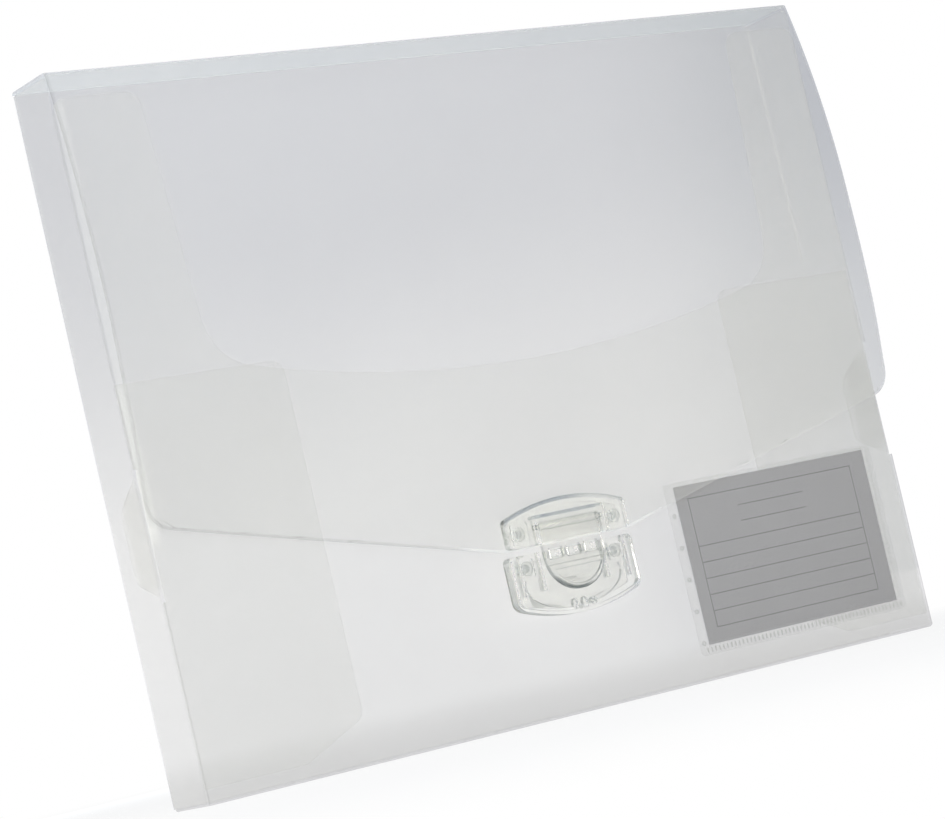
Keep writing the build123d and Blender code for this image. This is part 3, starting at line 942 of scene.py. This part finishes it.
class BOXFILE_OT_flap(bpy.types.Operator):
    """Hang the top spine and the bowed closing flap from their folds"""

    bl_idname = "box_file.flap"
    bl_label = "Hang the Flap"

    def execute(self, context):
        sizes = context.scene.file_sizes
        r, arc = sizes.crease_radius, sizes.crease_length
        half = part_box("top_spine")[1].x
        length = arc + 2 * (HALF_DEPTH - r)
        outline = [(-half, 0), (half, 0), (half, length), (-half, length)]

        def place(u, v, inside):
            y, z = section(v, (HALF_DEPTH, HEIGHT - r), (0, 1), 1, [0, BEYOND], inside)
            return Vector((u, y, z))

        lines = [(1, v, -BEYOND, BEYOND) for v in spread(0, arc, FOLD_STEPS)[1:]]
        bm = sheet_mesh(outline, lines, place)
        for face in bm.faces:
            face.material_index = 1 if abs(face.calc_center_bounds().x) > half - 1e-6 else 0
        looks = sheet_looks("lit_sheet", "soft_edge")
        spine = finished(bm, "top_spine_sheet", None, looks, ["top_spine"])
        start = Vector((0, HALF_DEPTH, HEIGHT - r))
        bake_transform(spine)
        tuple(start)

        low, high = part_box("closing_flap")
        side, foot, crease = high.x, low.z, HEIGHT - r
        top = crease + arc + r
        shoulder, blunt_half = foot + 32.5 * MM, 28 * MM
        outline = rounded([
            (-side, top),
            (-side, shoulder, 10 * MM),
            (-blunt_half, foot, 6 * MM),
            (blunt_half, foot, 6 * MM),
            (side, shoulder, 10 * MM),
            (side, top),
        ])
        columns = spread(-side, side, round(2 * side / sizes.net_step))
        rows = spread(foot, crease, round((crease - foot) / sizes.net_step))
        fold = spread(crease, crease + arc, FOLD_STEPS)
        lines = [(0, u, -BEYOND, BEYOND) for u in columns[1:-1]]
        lines += [(1, v, -BEYOND, BEYOND) for v in (*rows[1:], *fold[1:])]
        rivet_x, rivet_z = 21.5 * MM, 67.4 * MM
        holes = [circle(side * rivet_x, rivet_z, RIVET_HOLE) for side in (-1, 1)]
        bm = sheet_mesh(outline, lines, flap_place, holes, joined=top, strip=0.9 * MM)
        looks = sheet_looks("flap_sheet", "cut_edge", "edge_strip")
        flap = finished(bm, "closing_flap_sheet", None, looks, ["closing_flap"])
        start, end = (0, -HALF_DEPTH + r, HEIGHT), (0, -HALF_DEPTH, HEIGHT - r)
        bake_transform(flap)
        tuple(start)
        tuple(end)
        return {"FINISHED"}


class BOXFILE_OT_clasp(bpy.types.Operator):
    """Mould the clasp: both plates, the tongue, the backings and the rivets"""

    bl_idname = "box_file.clasp"
    bl_label = "Mould the Clasp"

    def execute(self, context):
        colours = context.scene.file_colours
        # Painted shade for the upper plate and a painted shadow for the tongue's foot
        rims, foot = (painted_rim_shade, colours.rim_shade), (painted_foot_shadow, colours.foot_shadow)
        # The walls' darker tint is painted shade for the dark lines that refraction gives
        clear, wall = (colours.clasp, 0.05), (colours.clasp_wall_shade, 0.1)
        faces = clear_plastic("clear_clasp", *clear)
        walls = clear_plastic("clasp_shaded_walls", *wall)
        upper = clear_plastic("clear_upper", *clear, rims)
        # The tongue's foot gets a painted shadow
        tongue = clear_plastic("clear_tongue", *clear, foot)
        tongue_shaded_walls = clear_plastic("tongue_shaded_walls", *wall, foot)
        rivets = thin_film("clear_rivets", colours.rivets, density=0.2, roughness=0.12)
        # Each has its body, the rounding of its edges in millimetres, and its looks
        pieces = {
            "clasp_upper_plate": ("flap", 0.25, [upper, walls]),
            "clasp_upper_backing": ("flap", 0.15, [faces, faces]),
            "clasp_upper_rivets": ("flap", 0.15, [rivets, rivets]),
            "clasp_lower_plate": ("case", 0.22, [faces, walls]),
            "clasp_lower_backing": ("case", 0.15, [faces, faces]),
            "clasp_lower_rivets": ("case", 0.15, [rivets, rivets]),
            "clasp_tongue": ("tongue", 0.22, [tongue, tongue_shaded_walls]),
        }
        for node, (body, soften, looks) in pieces.items():
            bm = packed_copy(node)
            bm.normal_update()
            for face in bm.faces:
                upright_wall = abs(face.normal.y) <= 0.6
                face.material_index = 1 if upright_wall else 0
            piece = finished(bm, node + "_clear", body, looks, [node], soften * MM)
            piece.visible_shadow = False
        return {"FINISHED"}


class BOXFILE_OT_label(bpy.types.Operator):
    """Weld the label pocket and put the ruled card in it"""

    bl_idname = "box_file.label"
    bl_label = "Weld the Label Pocket"

    def execute(self, context):
        colours = context.scene.file_colours
        sizes = context.scene.file_sizes
        low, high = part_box("label_pocket")
        card_low, card_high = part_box("label_card")
        film_thick, gap = 0.2 * MM, 0.02 * MM
        held_off = -HALF_DEPTH - low.y
        weld = card_low.x - low.x - 0.9 * MM
        slope = 1.6 * MM
        outline = rounded([
            (low.x, high.z, 1 * MM),
            (low.x, low.z, 2 * MM),
            (high.x, low.z, 2 * MM),
            (high.x, high.z, 1 * MM),
        ])

        def place(u, v, inside):
            inner = min(u - low.x, high.x - u, v - low.z) - weld
            raised = (held_off - film_thick) * smooth(inner, -0.5 * MM, slope)
            out = film_thick + gap + raised
            return Vector((u, -HALF_DEPTH - out + film_thick * inside, v))

        near, far = weld - 0.5 * MM, weld + slope
        bends = [
            (0, low.x + near, low.x + far),
            (0, high.x - far, high.x - near),
            (1, low.z + near, low.z + far),
        ]
        lines = [(axis, at, -BEYOND, BEYOND) for axis, a, b in bends for at in spread(a, b, 6)]
        bm = sheet_mesh(outline, lines, place)
        for face in bm.faces:
            face.material_index = 0
        self.welds(bm, sizes.weld_pitch, low, high, -HALF_DEPTH - film_thick - gap)
        film = thin_film("clear_film", colours.film, density=0.11, roughness=0.2)
        weld_look = thin_film("weld_marks", colours.weld, density=0.26, roughness=0.3)
        finished(bm, "label_pocket_film", "case", [film, weld_look], ["label_pocket"])
        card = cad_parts["label_card"].data
        card.materials.clear()
        card.materials.append(ruled_card(colours, card_low, card_high))
        return {"FINISHED"}

    def welds(self, bm, pitch, low, high, face):
        """Raise the weld's marks: ticks along the foot, rings at the left, dots at the right."""
        before = set(bm.faces)
        back, front = face + 0.05 * MM, face - 0.12 * MM
        tick_wide, tick_tall, tick_foot = 0.6 * MM, 1.8 * MM, low.z + 1.1 * MM
        run = 95 * MM
        for u in spread(low.x + 3 * MM, high.x - 3 * MM, round(run / pitch)):
            add_box(bm, (u, front, tick_foot), (u + tick_wide, back, tick_foot + tick_tall))
        rings, radii = 5, (0.4 * MM, 0.9 * MM)
        for v in spread(low.z + 4.7 * MM, high.z - 12.3 * MM, rings - 1):
            add_ring(bm, low.x + 2.2 * MM, v, radii, (back, front))
        dots, dot_wide, dot_tall = 31, 0.45 * MM, 0.6 * MM
        u = high.x - 2.5 * MM
        for v in spread(low.z + 4.5 * MM, high.z - 3 * MM, dots - 1):
            add_box(bm, (u, front, v), (u + dot_wide, back, v + dot_tall))
        for one in set(bm.faces) - before:
            one.material_index = 1


def ruled_card(colours, low, high):
    """Grey card with a printed frame, two short header rules and five full rules."""
    material = bpy.data.materials.new("ruled_card")
    graph = Graph(material)
    point = graph.point()
    x, y, z = graph.split(point)
    line = 0.17 * MM
    left, right = low.x + 5.5 * MM, high.x - 8.0 * MM
    bottom, top = low.z + 5.8 * MM, high.z - 5.2 * MM
    inside = (x.above(left - line) * x.below(right + line)) * (
        z.above(bottom - line) * z.below(top + line)
    )

    def rule(axis, at):
        return abs(axis - at).below(line)

    marks = rule(x, left).most(rule(x, right)).most(rule(z, bottom)).most(rule(z, top))
    rules, pitch = 5, 6.13 * MM
    for i in range(rules):
        marks = marks.most(rule(z, bottom + pitch * (i + 1)))
    short = x.above(low.x + 28 * MM) * x.below(low.x + 60.6 * MM)
    for at in (high.z - 17.2 * MM, high.z - 11.2 * MM):
        marks = marks.most(rule(z, at) * short)
    fibres = graph.noise(point, scale=1800.0, detail=5.0)
    darker, lighter = ([c * shade for c in colours.card] for shade in (0.96, 1.04))
    paper = graph.mix(fibres.eased(0.3, 0.7), darker, lighter)
    inputs = {
        "Base Color": graph.mix(marks * inside * 0.75, paper, list(colours.ink)),
        "Roughness": 0.75 + (fibres - 0.5) * 0.1,
        "Normal": graph.bump(fibres, depth=0.03 * MM, strength=0.4),
    }
    graph.surface(graph.node("BsdfPrincipled", inputs=inputs))
    return material


# The soft lamps: name, share of the key's power, colour, place and size
LAMPS = (
    ("low", 1.25, (1.0, 0.94, 0.74), (0.05, -0.62, 0.04), (0.6, 0.1)),
    ("side", 0.43, (1.0, 0.97, 0.87), (-0.42, 0.07, 0.1), (0.2, 0.08)),
    ("high", 1.17, (0.81, 0.88, 1.0), (-0.3, -0.52, 0.42), (0.4, 0.2)),
    ("back", 0.8, (0.7, 0.86, 1.0), (0.0, 0.45, 0.03), (0.6, 0.1)),
)


class BOXFILE_OT_stage(bpy.types.Operator):
    """Set up the camera, the pale floor, the soft lamps and the surroundings"""

    bl_idname = "box_file.stage"
    bl_label = "Set the Stage"

    def execute(self, context):
        scene = context.scene
        stage = scene.file_stage
        scene.view_settings.view_transform = "Standard"
        scene.cycles.transparent_max_bounces = 64
        scene.cycles.max_bounces = 24
        scene.cycles.transmission_bounces = 24
        data = bpy.data.cameras.new("camera")
        data.lens = stage.lens
        data.sensor_width = 36
        data.shift_x, data.shift_y = stage.shift_x, stage.shift_y
        data.clip_start, data.clip_end = 0.01, 20
        camera = bpy.data.objects.new("camera", data)
        scene.collection.objects.link(camera)
        pan = Matrix.Rotation(stage.pan, 4, "Z")
        tilt = Matrix.Rotation(math.pi / 2 + stage.tilt, 4, "X")
        roll = Matrix.Rotation(stage.roll, 4, "Z")
        camera.matrix_world = Matrix.Translation(Vector(stage.place)) @ pan @ tilt @ roll
        scene.camera = camera
        self.floor(scene, stage)
        self.surroundings(scene, stage)
        for name, share, colour, place, size in LAMPS:
            self.lamp(scene, name, stage.key * share, colour, place, size)
        return {"FINISHED"}

    def lamp(self, scene, name, power, colour, place, size):
        """A wide soft lamp, level with what it faces, that leaves no highlight.

        The one at the back would shine straight through the clasp, so that is left out.
        """
        data = bpy.data.lights.new(name, "AREA")
        data.energy = power
        data.color = colour
        data.shape = "RECTANGLE"
        data.size, data.size_y = size
        lamp = bpy.data.objects.new(name, data)
        lamp.visible_camera = False
        lamp.visible_glossy = False
        lamp.visible_transmission = name != "back"
        scene.collection.objects.link(lamp)
        aim = Vector((place[0] * 0.3, 0, place[2])) - Vector(place)
        turn = aim.to_track_quat("-Z", "Y").to_matrix().to_4x4()
        lamp.matrix_world = Matrix.Translation(place) @ turn

    def floor(self, scene, stage):
        """A pale floor that keeps the file's shadow and fades into the white backdrop."""
        mesh = bpy.data.meshes.new("floor")
        reach = 6.0
        corners = [(-reach, -reach, 0), (reach, -reach, 0), (reach, reach, 0), (-reach, reach, 0)]
        mesh.from_pydata(corners, [], [(0, 1, 2, 3)])
        floor = bpy.data.objects.new("floor", mesh)
        scene.collection.objects.link(floor)
        material = bpy.data.materials.new("pale_floor")
        graph = Graph(material)
        point = graph.point()
        away = graph.node("VectorMath", {"operation": "LENGTH"}, {0: point}, output="Value")
        seen = graph.node("LightPath", output="Is Camera Ray")
        behind = graph.node("LightPath", output="Transparent Depth").least(1.0)
        # Painted shadow: through the sheets the floor shows darker near the file
        painted_floor_shadow = graph.mix(away.eased(-0.6, 1.8), (0.61, 0.605, 0.63), stage.backdrop_low)
        shown = graph.mix(behind, (1.0, 1.0, 1.0), painted_floor_shadow)
        white = graph.node("Emission", inputs={"Color": shown, "Strength": 1.0})
        ground = graph.node("BsdfDiffuse", inputs={"Color": (0.93, 0.93, 0.93, 1)})
        share = seen * (0.85 + 0.15 * away.eased(0.2, 0.6).most(behind))
        graph.surface(graph.node("MixShader", inputs={0: share, 1: ground, 2: white}))
        mesh.materials.append(material)

    def surroundings(self, scene, stage):
        """White where nothing is in front; a paler light low down and a cooler one overhead."""
        world = bpy.data.worlds.new("surroundings")
        scene.world = world
        graph = Graph(world)
        across, deep, up = graph.split(graph.node("TexCoord", output="Generated"))
        sky = graph.mix(up.eased(0.0, 0.8), (1.0, 1.0, 0.99), (0.5, 0.54, 0.6))
        lit = graph.node("Background", inputs={"Color": sky, "Strength": stage.ambient})
        # Painted shade behind the sheets: darker and bluer higher up and to the right
        backdrop = graph.mix(up.eased(0.05, 0.15), stage.backdrop_low, stage.backdrop_high)
        backdrop = graph.mix(up.eased(0.2, 0.8), backdrop, (0.42, 0.47, 0.55))
        to_right, to_front = 0.82, 0.57
        side = (across * to_right - deep * to_front).eased(0.045, 0.14)
        side = side * (0.62 + 0.38 * up.eased(0.01, 0.07))
        backdrop = graph.mix(side, backdrop, stage.backdrop_side, "MULTIPLY")
        path = {n: graph.node("LightPath", output=n) for n in
                ("Is Camera Ray", "Is Glossy Ray", "Is Transmission Ray", "Transparent Depth")}
        seen = path["Is Camera Ray"].most(path["Is Glossy Ray"]).most(path["Is Transmission Ray"])
        clear = path["Is Camera Ray"] * path["Transparent Depth"].below(0.5)
        shown = graph.mix(clear, backdrop, (1.0, 1.0, 1.0))
        white = graph.node("Background", inputs={"Color": shown, "Strength": 1.0})
        mixed = graph.node("MixShader", inputs={0: seen, 1: lit, 2: white})
        graph.node("OutputWorld", inputs={"Surface": mixed})


class BOXFILE_PT_sidebar(bpy.types.Panel):
    """Lists the steps that build the file and the values that they use"""

    bl_idname = "BOXFILE_PT_sidebar"
    bl_label = "Box File"
    bl_space_type = "VIEW_3D"
    bl_region_type = "UI"
    bl_category = "Box File"

    def draw(self, context):
        column = self.layout.column()
        for operator in STEPS:
            column.operator(operator.bl_idname)
        scene = context.scene
        for group in (scene.file_sizes, scene.file_colours, scene.file_stage):
            box = self.layout.box()
            for name in group.bl_rna.properties.keys():
                if name not in ("rna_type", "name"):
                    box.prop(group, name)


STEPS = (
    BOXFILE_OT_stage,
    BOXFILE_OT_case,
    BOXFILE_OT_flap,
    BOXFILE_OT_clasp,
    BOXFILE_OT_label,
)
CLASSES = (FileSizes, FileColours, StageSettings, *STEPS, BOXFILE_PT_sidebar)


def register():
    for one in CLASSES:
        bpy.utils.register_class(one)
    bpy.types.Scene.file_sizes = PointerProperty(type=FileSizes)
    bpy.types.Scene.file_colours = PointerProperty(type=FileColours)
    bpy.types.Scene.file_stage = PointerProperty(type=StageSettings)


def unregister():
    del bpy.types.Scene.file_stage
    del bpy.types.Scene.file_colours
    del bpy.types.Scene.file_sizes
    for one in reversed(CLASSES):
        bpy.utils.unregister_class(one)


def main():
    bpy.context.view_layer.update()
    register()
    bpy.ops.box_file.stage()
    bpy.ops.box_file.case()
    bpy.ops.box_file.flap()
    bpy.ops.box_file.clasp()
    bpy.ops.box_file.label()


if __name__ == "__main__":
    main()
